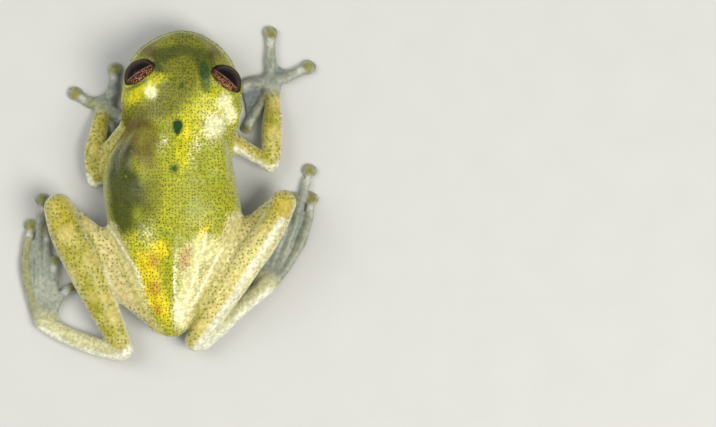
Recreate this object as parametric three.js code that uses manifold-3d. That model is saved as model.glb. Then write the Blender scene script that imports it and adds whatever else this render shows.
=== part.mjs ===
import * as THREE from 'three';
import { mergeVertices } from 'three/addons/utils/BufferGeometryUtils.js';
import Module from 'manifold-3d';

// A glass frog at rest, life size, in millimetres.
// It faces -Y, +Z is up and +X is the frog's own left.

// Driving sizes
const SNOUT_Y = -11.85;
const VENT_Y = 10.17;
const NECK_Y = -4.95;
const BACK_HEIGHT = 6.2;
const HEAD_HEIGHT = 5.2;
const JAW_REAR_Y = -6.0;
const MOUTH_Z = 1.95;
const LIP_RADIUS = 0.3;
const EYE_RADIUS = 1.3;
const LID_THICKNESS = 0.32;
const NOSTRIL_RADIUS = 0.17;
const EARDRUM_RADIUS = 0.42;
const DISC_RADIUS = 0.55;
const DISC_HEIGHT = 0.5;
const DIGIT_RADIUS = 0.33;
const WEB_THICKNESS = 0.55;
const GAP = 0.3;
const FLOOR_SPAN = 60;

// Facets round each kind of form
const ROUND_BODY = 30;
const ROUND_LIMB = 14;
const ROUND_DIGIT = 8;
const ROUND_DISC = 12;
const ROUND_EYE = 20;

const wasm = await Module();
wasm.setup();

// A closed surface becomes a solid that can be joined and cut.
function solidOf(geometry) {
  const bare = new THREE.BufferGeometry();
  bare.setAttribute('position', geometry.getAttribute('position'));
  if (geometry.index) {
    bare.setIndex(geometry.index);
  }
  const merged = mergeVertices(bare, 1e-5);
  const mesh = new wasm.Mesh({
    numProp: 3,
    vertProperties: Float32Array.from(merged.getAttribute('position').array),
    triVerts: Uint32Array.from(merged.index.array),
  });
  return new wasm.Manifold(mesh);
}

function joined(solids) {
  return solids.reduce((all, one) => all.add(one));
}

function largestBody(solid) {
  const bodies = solid.decompose();
  return bodies.reduce((best, one) => (one.volume() > best.volume() ? one : best));
}

function geometryOf(solid) {
  const mesh = solid.getMesh();
  const geometry = new THREE.BufferGeometry();
  geometry.setAttribute('position', new THREE.BufferAttribute(Float32Array.from(mesh.vertProperties), 3));
  geometry.setIndex(new THREE.BufferAttribute(Uint32Array.from(mesh.triVerts), 1));
  geometry.computeVertexNormals();
  return geometry;
}

// Rings of points, each the same count, skinned and closed at both ends.
function loft(rings) {
  const around = rings[0].length;
  const positions = rings.flat().flatMap((p) => [p.x, p.y, p.z]);
  const triangles = [];
  for (let r = 0; r < rings.length - 1; r += 1) {
    for (let k = 0; k < around; k += 1) {
      const a = r * around + k;
      const b = r * around + ((k + 1) % around);
      triangles.push(a, b, a + around, b, b + around, a + around);
    }
  }
  const middleOf = (ring) => ring.reduce((sum, p) => sum.add(p), new THREE.Vector3()).divideScalar(around);
  const first = middleOf(rings[0]);
  const last = middleOf(rings[rings.length - 1]);
  const startIndex = rings.length * around;
  positions.push(first.x, first.y, first.z, last.x, last.y, last.z);
  const lastRing = (rings.length - 1) * around;
  for (let k = 0; k < around; k += 1) {
    const next = (k + 1) % around;
    triangles.push(startIndex, next, k);
    triangles.push(startIndex + 1, lastRing + k, lastRing + next);
  }
  const geometry = new THREE.BufferGeometry();
  geometry.setAttribute('position', new THREE.Float32BufferAttribute(positions, 3));
  geometry.setIndex(triangles);
  return solidOf(geometry);
}

// Values at stations are joined by a smooth curve through them.
function smoothAt(values, t) {
  const span = values.length - 1;
  const i = Math.min(Math.floor(t * span), span - 1);
  const f = t * span - i;
  const p0 = values[Math.max(i - 1, 0)];
  const p1 = values[i];
  const p2 = values[i + 1];
  const p3 = values[Math.min(i + 2, span)];
  const slope = (p2 - p0) / 2;
  const cubic = (3 * (p1 - p2) + p3 - p0) / 2;
  const square = p2 - p1 - slope - cubic;
  return p1 + slope * f + square * f * f + cubic * f * f * f;
}

// A limb: stations of [x, y, z, half width, half height], with rounded ends.
function limb(stations, round, grow) {
  const perSpan = round > ROUND_DIGIT ? 2 : 1;
  const count = (stations.length - 1) * perSpan;
  const at = (t) => stations[0].map((_, c) => smoothAt(stations.map((s) => s[c]), t));
  const samples = Array.from({ length: count + 1 }, (_, i) => at(i / count));
  const centres = samples.map((s) => new THREE.Vector3(s[0], s[1], s[2]));
  const up = new THREE.Vector3(0, 0, 1);
  const ringAt = (centre, along, halfWidth, halfHeight) => {
    const side = new THREE.Vector3().crossVectors(up, along).normalize();
    const rise = new THREE.Vector3().crossVectors(along, side).normalize();
    return Array.from({ length: round }, (_, k) => {
      const angle = (2 * Math.PI * k) / round;
      const across = side.clone().multiplyScalar(Math.cos(angle) * halfWidth);
      return centre.clone().add(across).addScaledVector(rise, Math.sin(angle) * halfHeight);
    });
  };
  const rings = [];
  const endAngles = [70, 35];
  const capRing = (i, angle, sign) => {
    const along = sign < 0 ? centres[1].clone().sub(centres[0]) : centres[count].clone().sub(centres[count - 1]);
    along.normalize();
    const halfWidth = samples[i][3] + grow;
    const halfHeight = samples[i][4] + grow;
    const lean = (angle * Math.PI) / 180;
    const out = sign * Math.sin(lean) * Math.min(halfWidth, halfHeight);
    const centre = centres[i].clone().addScaledVector(along, out);
    return ringAt(centre, along, halfWidth * Math.cos(lean), halfHeight * Math.cos(lean));
  };
  endAngles.forEach((angle) => rings.push(capRing(0, angle, -1)));
  centres.forEach((centre, i) => {
    const before = centres[Math.max(i - 1, 0)];
    const after = centres[Math.min(i + 1, count)];
    const along = after.clone().sub(before).normalize();
    rings.push(ringAt(centre, along, samples[i][3] + grow, samples[i][4] + grow));
  });
  endAngles.slice().reverse().forEach((angle) => rings.push(capRing(count, angle, 1)));
  return loft(rings);
}

function ball(x, y, z, rx, ry, rz, round = ROUND_DISC) {
  const geometry = new THREE.SphereGeometry(1, round, Math.round(round / 2));
  geometry.scale(rx, ry, rz);
  geometry.translate(x, y, z);
  return solidOf(geometry);
}

function block(minX, maxX, minY, maxY, minZ, maxZ) {
  const geometry = new THREE.BoxGeometry(maxX - minX, maxY - minY, maxZ - minZ);
  geometry.translate((minX + maxX) / 2, (minY + maxY) / 2, (minZ + maxZ) / 2);
  return solidOf(geometry);
}

const aboveFloor = block(-FLOOR_SPAN, FLOOR_SPAN, -FLOOR_SPAN, FLOOR_SPAN, 0, FLOOR_SPAN);

// Trunk stations from snout to vent: y, frog's left edge, right edge, top, bottom.
const TRUNK = [
  [SNOUT_Y, -0.75, -1.25, 2.5, 2.0],
  [-11.72, -0.05, -1.95, 2.95, 1.45],
  [-11.4, 0.75, -2.65, 3.4, 1.05],
  [-10.7, 1.85, -3.65, 3.95, 0.75],
  [-9.75, 2.6, -4.4, 4.6, 0.5],
  [-8.6, 3.05, -4.9, 5.1, 0.4],
  [-7.4, 3.3, -5.15, HEAD_HEIGHT + 0.1, 0.35],
  [-6.2, 3.25, -5.15, HEAD_HEIGHT + 0.1, 0.25],
  [-5.1, 3.0, -4.75, HEAD_HEIGHT + 0.15, 0.05],
  [-3.7, 3.8, -4.6, 5.75, -0.2],
  [-2.4, 4.5, -4.65, BACK_HEIGHT - 0.05, -0.3],
  [-0.7, 4.75, -4.95, BACK_HEIGHT, -0.35],
  [1.0, 4.6, -5.25, BACK_HEIGHT - 0.1, -0.35],
  [2.6, 4.3, -5.1, 5.7, -0.35],
  [4.4, 3.7, -4.4, 5.1, -0.3],
  [6.2, 3.1, -3.6, 4.4, -0.25],
  [7.8, 2.55, -2.75, 3.7, -0.15],
  [9.1, 1.7, -1.95, 3.1, 0.2],
  [9.85, 0.85, -1.25, 2.5, 0.8],
  [VENT_Y, 0.1, -0.6, 2.05, 1.3],
];
const BELLY_SQUARENESS = 2.3;
const BACK_SQUARENESS = 2.15;
const WIDEST_LEVEL = 0.38;

function trunk(grow) {
  const count = (TRUNK.length - 1) * 2;
  const column = (c, t) => smoothAt(TRUNK.map((s) => s[c]), t);
  const rings = Array.from({ length: count + 1 }, (_, i) => {
    const t = i / count;
    const left = column(1, t) + grow;
    const right = column(2, t) - grow;
    const top = column(3, t) + grow;
    const bottom = column(4, t) - grow;
    const endShift = i === 0 ? -grow : 0;
    const y = column(0, t) + (i === count ? grow : endShift);
    const widest = bottom + (top - bottom) * WIDEST_LEVEL;
    return Array.from({ length: ROUND_BODY }, (_unused, k) => {
      const angle = (2 * Math.PI * k) / ROUND_BODY;
      const c = Math.cos(angle);
      const s = Math.sin(angle);
      const power = 2 / (s >= 0 ? BACK_SQUARENESS : BELLY_SQUARENESS);
      const halfWidth = (left - right) / 2;
      const x = (left + right) / 2 - halfWidth * Math.sign(c) * Math.abs(c) ** power;
      const reach = s >= 0 ? top - widest : widest - bottom;
      return new THREE.Vector3(x, y, widest + reach * Math.sign(s) * Math.abs(s) ** power);
    });
  });
  return loft(rings);
}

// Eyes look forward, outward and a little up.
const EYES = {
  left: { x: 1.8, y: -8.48, z: 4.0, lookX: 0.5, lookY: -0.75, lookZ: 0.36 },
  right: { x: -3.95, y: -8.04, z: 4.0, lookX: -0.58, lookY: -0.7, lookZ: 0.36 },
};

function eyeball(eye, grow) {
  const r = EYE_RADIUS + grow;
  return ball(eye.x, eye.y, eye.z, r, r, r, ROUND_EYE);
}

// The lid is a hood over the eye, open toward where the eye looks.
function lid(eye) {
  const r = EYE_RADIUS + LID_THICKNESS;
  const look = new THREE.Vector3(eye.lookX, eye.lookY, eye.lookZ).normalize();
  const opening = new THREE.BoxGeometry(6, 6, 6);
  opening.translate(0, 0, 3.2);
  opening.applyQuaternion(new THREE.Quaternion().setFromUnitVectors(new THREE.Vector3(0, 0, 1), look));
  opening.translate(eye.x, eye.y, eye.z);
  return ball(eye.x, eye.y, eye.z, r, r, r, ROUND_EYE).subtract(solidOf(opening));
}

// The lips are a soft roll that follows the edge of the mouth.
const LIP_PATH = [
  [3.12, JAW_REAR_Y],
  [3.12, -7.6],
  [2.75, -9.3],
  [1.75, -10.7],
  [0.2, -11.5],
  [-1.0, -11.72],
  [-2.2, -11.5],
  [-3.75, -10.6],
  [-4.62, -9.2],
  [-4.98, -7.6],
  [-4.98, JAW_REAR_Y],
];

function lips() {
  const roll = LIP_PATH.map(([x, y]) => [x, y, MOUTH_Z, LIP_RADIUS, LIP_RADIUS + GAP / 2]);
  return limb(roll, ROUND_DIGIT, 0);
}

function headWhole() {
  const ahead = block(-FLOOR_SPAN, FLOOR_SPAN, -FLOOR_SPAN, NECK_Y, -FLOOR_SPAN, FLOOR_SPAN);
  const nostrilLeft = ball(-0.35, -11.3, 3.3, NOSTRIL_RADIUS, NOSTRIL_RADIUS, 0.45, ROUND_DIGIT);
  const nostrilRight = ball(-1.75, -11.28, 3.3, NOSTRIL_RADIUS, NOSTRIL_RADIUS, 0.45, ROUND_DIGIT);
  const drumLeft = ball(2.9, -6.35, 3.4, 0.3, EARDRUM_RADIUS, EARDRUM_RADIUS);
  const drumRight = ball(-4.8, -6.3, 3.4, 0.3, EARDRUM_RADIUS, EARDRUM_RADIUS);
  const skull = trunk(0).intersect(ahead);
  const full = joined([skull, lips(), lid(EYES.left), lid(EYES.right), drumLeft, drumRight]);
  return full.subtract(nostrilLeft).subtract(nostrilRight).intersect(aboveFloor);
}

function headUpper(grow) {
  if (grow > 0) {
    return joined([trunk(grow), eyeball(EYES.left, LID_THICKNESS + grow), eyeball(EYES.right, LID_THICKNESS + grow)]);
  }
  const mouth = block(-FLOOR_SPAN, FLOOR_SPAN, -FLOOR_SPAN, JAW_REAR_Y, -FLOOR_SPAN, MOUTH_Z + GAP / 2);
  return headWhole().subtract(mouth);
}

function headLower() {
  const below = block(-FLOOR_SPAN, FLOOR_SPAN, -FLOOR_SPAN, JAW_REAR_Y - GAP, -FLOOR_SPAN, MOUTH_Z - GAP / 2);
  return headWhole().intersect(below);
}

function torso() {
  const behind = block(-FLOOR_SPAN, FLOOR_SPAN, NECK_Y + GAP, FLOOR_SPAN, -FLOOR_SPAN, FLOOR_SPAN);
  return trunk(0).intersect(behind);
}

// Limb stations: x, y, z, half width, half height.
const ARMS = {
  left: {
    upper: [[3.1, -4.4, 1.8, 0.85, 0.9], [4.35, -3.0, 1.3, 0.72, 0.75], [5.1, -1.2, 1.0, 0.6, 0.6]],
    fore: [[5.4, -1.15, 1.15, 0.62, 0.62], [5.42, -2.9, 1.1, 0.75, 0.72], [5.15, -4.6, 0.85, 0.66, 0.6],
      [5.0, -5.4, 0.7, 0.52, 0.5]],
    hand: [[4.98, -5.65, 0.5, 0.6, 0.42], [4.75, -6.55, 0.42, 0.72, 0.36]],
    digits: [
      [[4.75, -5.65], [4.35, -4.95], [4.05, -4.4]],
      [[4.35, -6.2], [3.75, -5.75], [3.2, -5.55]],
      [[4.4, -6.6], [4.11, -7.8], [4.01, -9.18]],
      [[5.15, -6.5], [6.2, -6.9], [6.91, -7.4]],
    ],
    web: [[5.3, -5.9], [6.1, -6.75], [5.35, -7.0], [4.45, -7.35], [4.05, -6.2], [4.4, -5.2]],
  },
  right: {
    upper: [[-4.0, -4.2, 2.2, 0.85, 0.9], [-5.7, -3.25, 1.7, 0.62, 0.65], [-7.25, -2.3, 1.25, 0.6, 0.62]],
    fore: [[-7.45, -2.35, 1.15, 0.62, 0.62], [-7.5, -4.2, 1.1, 0.76, 0.72], [-7.55, -5.8, 0.85, 0.68, 0.6],
      [-7.56, -6.7, 0.7, 0.55, 0.5]],
    hand: [[-7.52, -7.0, 0.5, 0.62, 0.42], [-7.42, -8.2, 0.42, 0.8, 0.36]],
    digits: [
      [[-7.0, -7.3], [-6.35, -6.1], [-5.65, -4.85]],
      [[-6.9, -8.4], [-6.0, -8.2], [-5.15, -7.85]],
      [[-7.38, -8.7], [-7.41, -10.3], [-7.37, -11.8]],
      [[-7.95, -8.4], [-9.2, -8.86], [-10.16, -9.32]],
    ],
    web: [[-8.0, -7.1], [-8.95, -8.6], [-8.3, -9.0], [-7.3, -9.4], [-6.35, -8.35], [-6.5, -7.1]],
  },
};

const LEGS = {
  left: {
    thigh: [[0.5, 8.3, 1.7, 1.4, 1.25], [2.5, 6.75, 1.75, 1.6, 1.3], [4.6, 4.6, 1.8, 1.5, 1.2],
      [6.3, 2.95, 1.9, 1.3, 1.15], [7.5, 1.5, 2.0, 1.0, 1.0]],
    shank: [[8.0, 1.0, 2.5, 1.08, 1.05], [7.3, 2.9, 2.8, 1.28, 1.15], [6.18, 5.15, 2.7, 1.31, 1.15],
      [5.1, 7.5, 2.05, 1.18, 1.05], [4.1, 9.65, 1.5, 0.98, 0.92], [3.45, 11.2, 1.15, 0.85, 0.85]],
    tarsus: [[3.6, 11.5, 0.95, 0.72, 0.75], [5.2, 11.15, 0.85, 0.68, 0.66], [6.6, 10.65, 0.75, 0.66, 0.62],
      [8.0, 10.05, 0.68, 0.66, 0.58], [9.1, 9.4, 0.6, 0.68, 0.52]],
    ankle: [9.2, 9.3],
    turn: 0,
    side: 1,
  },
  right: {
    thigh: [[-1.7, 7.4, 1.75, 1.3, 1.3], [-3.1, 6.2, 1.8, 1.4, 1.3], [-4.8, 4.5, 2.05, 1.45, 1.15],
      [-6.6, 2.6, 2.1, 1.3, 1.15], [-7.9, 1.1, 2.15, 1.0, 1.05]],
    shank: [[-8.35, 0.6, 2.65, 0.95, 1.0], [-7.3, 2.7, 3.0, 1.06, 1.15], [-5.5, 5.3, 2.9, 1.08, 1.15],
      [-3.95, 7.6, 2.35, 1.02, 1.05], [-2.65, 9.4, 1.65, 0.92, 0.92], [-1.95, 10.6, 1.15, 0.82, 0.85]],
    tarsus: [[-2.5, 10.75, 0.95, 0.6, 0.75], [-3.85, 9.55, 0.85, 0.64, 0.66], [-5.05, 8.35, 0.75, 0.64, 0.62],
      [-6.15, 7.4, 0.68, 0.66, 0.58], [-7.05, 6.65, 0.6, 0.68, 0.52]],
    ankle: [-7.1, 6.6],
    turn: -19.9,
    side: -1,
  },
};

// One foot laid out from its ankle: toes one to five, each base, middle and tip, across then forward.
const TOES = [
  { bones: [[-0.55, 0.4], [-0.95, 1.35], [-1.2, 1.85]], tip: [-2.0, 2.53], disc: 0.38 },
  { bones: [[-0.35, 0.4], [-0.65, 1.8], [-0.75, 2.75]], tip: [-0.8, 4.46], disc: 0.4 },
  { bones: [[0.0, 0.3], [-0.15, 2.6], [-0.22, 4.9]], tip: [-0.25, 6.66], disc: 0.46 },
  { bones: [[0.2, 0.3], [0.45, 2.8], [0.35, 5.8]], tip: [0.11, 8.91], disc: 0.55 },
  { bones: [[0.4, 0.3], [1.15, 2.6], [1.38, 4.9]], tip: [0.93, 7.04], disc: 0.52 },
];
const FOOT_WEB = [[0.5, -0.2], [1.25, 2.0], [1.68, 4.0], [1.45, 5.3], [0.8, 5.0], [0.3, 5.9], [-0.35, 4.7],
  [-0.7, 3.1], [-1.0, 2.3], [-1.4, 1.9], [-1.2, 1.0], [-0.9, 0.1]];

// Flat sheet of skin between digits, with an outline in the plane of the floor.
function web(outline, grow) {
  const middle = outline.reduce((sum, p) => [sum[0] + p[0] / outline.length, sum[1] + p[1] / outline.length], [0, 0]);
  const spread = (p) => {
    const away = new THREE.Vector2(p[0] - middle[0], p[1] - middle[1]);
    const reach = away.length();
    return away.multiplyScalar((reach + grow) / reach).add(new THREE.Vector2(...middle));
  };
  const curve = new THREE.SplineCurve([...outline, outline[0]].map(spread));
  const shape = new THREE.Shape(curve.getPoints(outline.length * 2).slice(0, -1));
  const geometry = new THREE.ExtrudeGeometry(shape, { depth: WEB_THICKNESS + 2 * grow, bevelEnabled: false });
  geometry.translate(0, 0, -grow);
  return solidOf(geometry);
}

function digitBones(path, grow) {
  const stations = path.map(([x, y]) => [x, y, DIGIT_RADIUS - 0.03, DIGIT_RADIUS, DIGIT_RADIUS - 0.02]);
  return limb(stations, ROUND_DIGIT, grow);
}

function disc(x, y, radius, grow) {
  const height = DISC_HEIGHT * (0.55 + (0.45 * radius) / DISC_RADIUS);
  return ball(x, y, height * 0.42, radius + grow, radius + grow, height * 0.62 + grow);
}

function footPoint(leg, [across, forward]) {
  const turn = (leg.turn * Math.PI) / 180;
  const x = leg.side * across;
  const y = -forward;
  const turnedX = x * Math.cos(turn) - y * Math.sin(turn);
  const turnedY = x * Math.sin(turn) + y * Math.cos(turn);
  return [leg.ankle[0] + turnedX, leg.ankle[1] + turnedY];
}

function foot(leg, grow) {
  const heelPad = ball(...footPoint(leg, [-0.05, 0.5]), 0.4, 0.75 + grow, 0.75 + grow, 0.42 + grow);
  const bones = TOES.map((toe) => digitBones(toe.bones.map((p) => footPoint(leg, p)), grow));
  return joined([heelPad, web(FOOT_WEB.map((p) => footPoint(leg, p)), grow), ...bones]);
}

function toe(leg, index, grow) {
  const { bones, tip, disc: radius } = TOES[index];
  const free = [bones[1], bones[2], tip].map((p) => footPoint(leg, p));
  return digitBones(free, grow).add(disc(...free[2], radius, grow));
}

function hand(arm, grow) {
  const palm = limb(arm.hand, ROUND_LIMB, grow);
  return palm.add(web(arm.web, grow));
}

function finger(arm, index, grow) {
  const path = arm.digits[index];
  const radius = index < 2 ? 0.42 : DISC_RADIUS;
  return digitBones(path, grow).add(disc(...path[2], radius, grow));
}

// Every form in order: an earlier form keeps its shape and a later one stops short of it.
const forms = [];
const form = (name, slot, build, near) => forms.push({ name, slot, build, near });

form('torso', 'back_skin', () => torso(), (grow) => trunk(grow));
form('head', 'back_skin', () => headUpper(0), (grow) => headUpper(grow));
form('lower_jaw', 'belly_skin', () => headLower(), null);
form('eye_left', 'eye', () => eyeball(EYES.left, 0), (grow) => eyeball(EYES.left, grow));
form('eye_right', 'eye', () => eyeball(EYES.right, 0), (grow) => eyeball(EYES.right, grow));
['left', 'right'].forEach((side) => {
  const leg = LEGS[side];
  const arm = ARMS[side];
  form(`shank_${side}`, 'limb_skin', () => limb(leg.shank, ROUND_LIMB, 0), (g) => limb(leg.shank, ROUND_LIMB, g));
  form(`thigh_${side}`, 'limb_skin', () => limb(leg.thigh, ROUND_LIMB, 0), (g) => limb(leg.thigh, ROUND_LIMB, g));
  form(`tarsus_${side}`, 'limb_skin', () => limb(leg.tarsus, ROUND_LIMB, 0), (g) => limb(leg.tarsus, ROUND_LIMB, g));
  form(`foot_${side}`, 'web_skin', () => foot(leg, 0), (g) => foot(leg, g));
  TOES.forEach((_, i) => {
    form(`toe_${side}_${i + 1}`, 'disc_skin', () => toe(leg, i, 0), (g) => toe(leg, i, g));
  });
  form(`forearm_${side}`, 'limb_skin', () => limb(arm.fore, ROUND_LIMB, 0), (g) => limb(arm.fore, ROUND_LIMB, g));
  form(`upper_arm_${side}`, 'limb_skin', () => limb(arm.upper, ROUND_LIMB, 0), (g) => limb(arm.upper, ROUND_LIMB, g));
  form(`hand_${side}`, 'web_skin', () => hand(arm, 0), (g) => hand(arm, g));
  arm.digits.forEach((_, i) => {
    form(`finger_${side}_${i + 1}`, 'disc_skin', () => finger(arm, i, 0), (g) => finger(arm, i, g));
  });
});

const COLOURS = {
  back_skin: '#a9ae2a',
  belly_skin: '#b9bd9a',
  limb_skin: '#c3bd62',
  web_skin: '#aeb6a2',
  disc_skin: '#b3ab4c',
  eye: '#5a3326',
};

// The head keeps clear of the eyes, and each limb of all that came before it.
const frog = new THREE.Group();
frog.name = 'glass_frog';
const built = forms.map((one) => ({ ...one, solid: one.build().intersect(aboveFloor) }));
const trunkOwn = new Set(['torso', 'head', 'lower_jaw']);
built.forEach((one, i) => {
  let { solid } = one;
  built.slice(0, i).forEach((earlier) => {
    const bothTrunk = trunkOwn.has(one.name) && trunkOwn.has(earlier.name);
    const eyeInHead = one.slot === 'eye';
    if (earlier.near && !bothTrunk && !eyeInHead) {
      solid = solid.subtract(earlier.near(GAP));
    }
  });
  if (one.name === 'head') {
    solid = solid.subtract(eyeball(EYES.left, GAP / 2)).subtract(eyeball(EYES.right, GAP / 2));
  }
  const material = new THREE.MeshStandardMaterial({ color: COLOURS[one.slot], roughness: 0.4 });
  material.name = one.slot;
  const mesh = new THREE.Mesh(geometryOf(largestBody(solid)), material);
  mesh.name = one.name;
  frog.add(mesh);
});

// The origin is the middle of the footprint, on the floor.
const box = new THREE.Box3().setFromObject(frog);
frog.children.forEach((mesh) => {
  mesh.geometry.translate(-(box.min.x + box.max.x) / 2, -(box.min.y + box.max.y) / 2, -box.min.z);
});

export default frog;
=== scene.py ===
# %% [markdown]
# # A glass frog at rest
# A grown glass frog is about 22 mm long. Its skin is so thin and clear that light goes into it and comes
# out again, so it glows lime and yellow on the back and turns milky on hands, feet and the edges of the
# limbs.
# The plan of this lesson: load the solids, grow one seamless skin over them from a distance field, paint
# masks on its vertices, finish it with nodes, set in the eyes, then add floor, lights and camera.

# %% Load the solids that the skin has to fit
import math

import bpy
import numpy as np
import openvdb as vdb
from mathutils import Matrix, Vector, noise


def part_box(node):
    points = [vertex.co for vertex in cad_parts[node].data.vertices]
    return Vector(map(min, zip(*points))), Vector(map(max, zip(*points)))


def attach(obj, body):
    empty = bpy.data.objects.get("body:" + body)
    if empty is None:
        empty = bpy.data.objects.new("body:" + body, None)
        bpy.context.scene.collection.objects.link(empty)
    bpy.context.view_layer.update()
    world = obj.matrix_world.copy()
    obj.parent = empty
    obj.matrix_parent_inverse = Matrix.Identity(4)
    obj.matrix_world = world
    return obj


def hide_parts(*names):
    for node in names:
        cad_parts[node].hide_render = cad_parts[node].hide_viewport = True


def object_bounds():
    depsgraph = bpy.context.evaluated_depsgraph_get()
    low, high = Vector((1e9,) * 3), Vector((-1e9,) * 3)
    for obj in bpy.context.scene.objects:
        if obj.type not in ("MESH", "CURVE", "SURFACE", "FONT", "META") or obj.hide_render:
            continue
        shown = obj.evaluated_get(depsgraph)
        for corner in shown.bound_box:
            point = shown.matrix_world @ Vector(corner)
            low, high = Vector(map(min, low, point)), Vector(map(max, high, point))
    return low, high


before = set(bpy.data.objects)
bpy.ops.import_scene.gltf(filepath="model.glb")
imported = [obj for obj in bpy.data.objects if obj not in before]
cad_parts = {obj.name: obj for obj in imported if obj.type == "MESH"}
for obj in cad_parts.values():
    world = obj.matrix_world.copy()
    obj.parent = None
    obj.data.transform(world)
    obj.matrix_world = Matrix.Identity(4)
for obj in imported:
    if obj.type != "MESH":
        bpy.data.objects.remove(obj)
cad_low, cad_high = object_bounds()
MM = 0.001
print("solids:", len(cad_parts), "box in mm:", [round(v / MM, 2) for v in (*cad_low, *cad_high)])

# %% [markdown]
# The drawing of the frog has its own zero point. One eye is known in both, so the step between the two
# frames is measured on it instead of being typed in.

# %% Line the drawing up with the solids
EYE_RADIUS = 1.3
EYES = {
    "left": {"centre": (1.8, -8.48, 4.00), "look": (0.5, -0.75, 0.36)},
    "right": {"centre": (-3.95, -8.04, 4.00), "look": (-0.58, -0.7, 0.36)},
}
eye_low, eye_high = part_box("eye_left")
SHIFT = np.array((eye_low + eye_high) / 2) / MM - np.array(EYES["left"]["centre"])
print("shift in mm:", SHIFT.round(3))

# %% [markdown]
# ## A field of distances
# A frog has no seams: thigh flows into belly, finger into palm. Joined meshes would show a crease at every
# join. A distance field joins forms softly: every point of a fine grid holds how far it is from the skin,
# negative inside, and two forms are blended where their distances are alike. The skin is then where the
# field is zero. All lengths are in millimetres up to the finished mesh.

# %% The grid and the two ways to blend
CELL = 0.07
RIM = 0.4  # empty grid around the frog
MARGIN = 0.9  # how far beyond its own box a form is worked out
EMPTY, FAR = 5.0, 9.0  # what the grid holds before any form, and farther than any two forms that meet
GRID_LOW = np.array(cad_low) / MM - SHIFT - RIM
GRID_HIGH = np.array(cad_high) / MM - SHIFT + RIM
COUNTS = np.ceil((GRID_HIGH - GRID_LOW) / CELL).astype(int)
GRID_AXES = [GRID_LOW[i] + CELL * np.arange(COUNTS[i]) for i in range(3)]
field = np.full(COUNTS, EMPTY, np.float32)


def smooth_min(a, b, blend):
    near = np.maximum(blend - np.abs(a - b), 0) / blend
    return np.minimum(a, b) - near * near * blend / 4


def smooth_max(a, b, blend):
    return -smooth_min(-a, -b, blend)


def window(low, high):
    first = np.clip(((np.array(low) - MARGIN - GRID_LOW) / CELL).astype(int), 0, COUNTS)
    last = np.clip(((np.array(high) + MARGIN - GRID_LOW) / CELL).astype(int) + 2, 0, COUNTS)
    part = tuple(slice(a, b) for a, b in zip(first, last))
    x, y, z = (GRID_AXES[i][part[i]].astype(np.float32) for i in range(3))
    return part, x[:, None, None], y[None, :, None], z[None, None, :]


def add_form(form, blend, sign=1):
    distance, low, high = form
    part, x, y, z = window(low, high)
    field[part] = sign * smooth_min(sign * field[part], distance(x, y, z), blend)


def cut_form(form, blend):
    add_form(form, blend, -1)


def off_line(x, y, a, b):
    way = b - a
    t = np.clip(((x - a[0]) * way[0] + (y - a[1]) * way[1]) / max(way @ way, 1e-9), 0, 1)
    return np.hypot(x - a[0] - way[0] * t, y - a[1] - way[1] * t)


print("grid:", COUNTS, "cell in mm:", CELL)

# %% [markdown]
# Three forms are enough for limbs, digits and webs: a ball for swellings, a chain of tapered lengths for
# limbs and folds, and a thin membrane. Each gives its distance and the box that it fills, so that only a
# small part of the grid is worked on. Stations between the drawn ones lie on a smooth curve through them.

# %% A smooth curve through drawn stations
def between(rows, detail):
    rows = np.array(rows, float)
    padded = np.vstack([rows[0], rows, rows[-1]])
    out = []
    for i in range(len(rows) - 1):
        p0, p1, p2, p3 = padded[i : i + 4]
        for f in np.arange(detail) / detail:
            slope = (p2 - p0) / 2
            cubic = (3 * (p1 - p2) + p3 - p0) / 2
            square = p2 - p1 - slope - cubic
            out.append(p1 + slope * f + square * f * f + cubic * f**3)
    return np.array(out + [rows[-1]])


print("rows on a curve through three stations:", len(between([[0, 0], [1, 1], [2, 0]], 4)))

# %% The ball
def ball(x0, y0, z0, rx, ry, rz):
    def distance(x, y, z):
        dx, dy, dz = x - x0, y - y0, z - z0
        k0 = np.sqrt((dx / rx) ** 2 + (dy / ry) ** 2 + (dz / rz) ** 2)
        k1 = np.sqrt((dx / rx**2) ** 2 + (dy / ry**2) ** 2 + (dz / rz**2) ** 2)
        return k0 * (k0 - 1) / np.maximum(k1, 1e-6)

    return distance, (x0 - rx, y0 - ry, z0 - rz), (x0 + rx, y0 + ry, z0 + rz)


print("one radius off a ball of 1 mm:", ball(0, 0, 0, 1, 1, 1)[0](2.0, 0.0, 0.0), "mm")

# %% The chain of tapered lengths
def chain(stations, detail=4):
    rows = between(stations, detail)

    def distance(x, y, z):
        best = None
        for a, b in zip(rows[:-1], rows[1:]):
            step = b[:3] - a[:3]
            t = ((x - a[0]) * step[0] + (y - a[1]) * step[1] + (z - a[2]) * step[2]) / max(step @ step, 1e-9)
            t = np.clip(t, 0, 1)
            wide = a[3] + (b[3] - a[3]) * t
            tall = a[4] + (b[4] - a[4]) * t
            dx, dy = x - a[0] - step[0] * t, y - a[1] - step[1] * t
            dz = (z - a[2] - step[2] * t) * (wide / tall)
            one = np.sqrt(dx * dx + dy * dy + dz * dz) - wide
            best = one if best is None else np.minimum(best, one)
        return best

    reach = rows[:, 3:].max()
    return distance, rows[:, :3].min(0) - reach, rows[:, :3].max(0) + reach


print("beside a chain of half width 1 mm:", chain([[0, 0, 0, 1, 1], [2, 0, 0, 1, 1]])[0](1.0, 2.0, 0.0), "mm")

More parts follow.
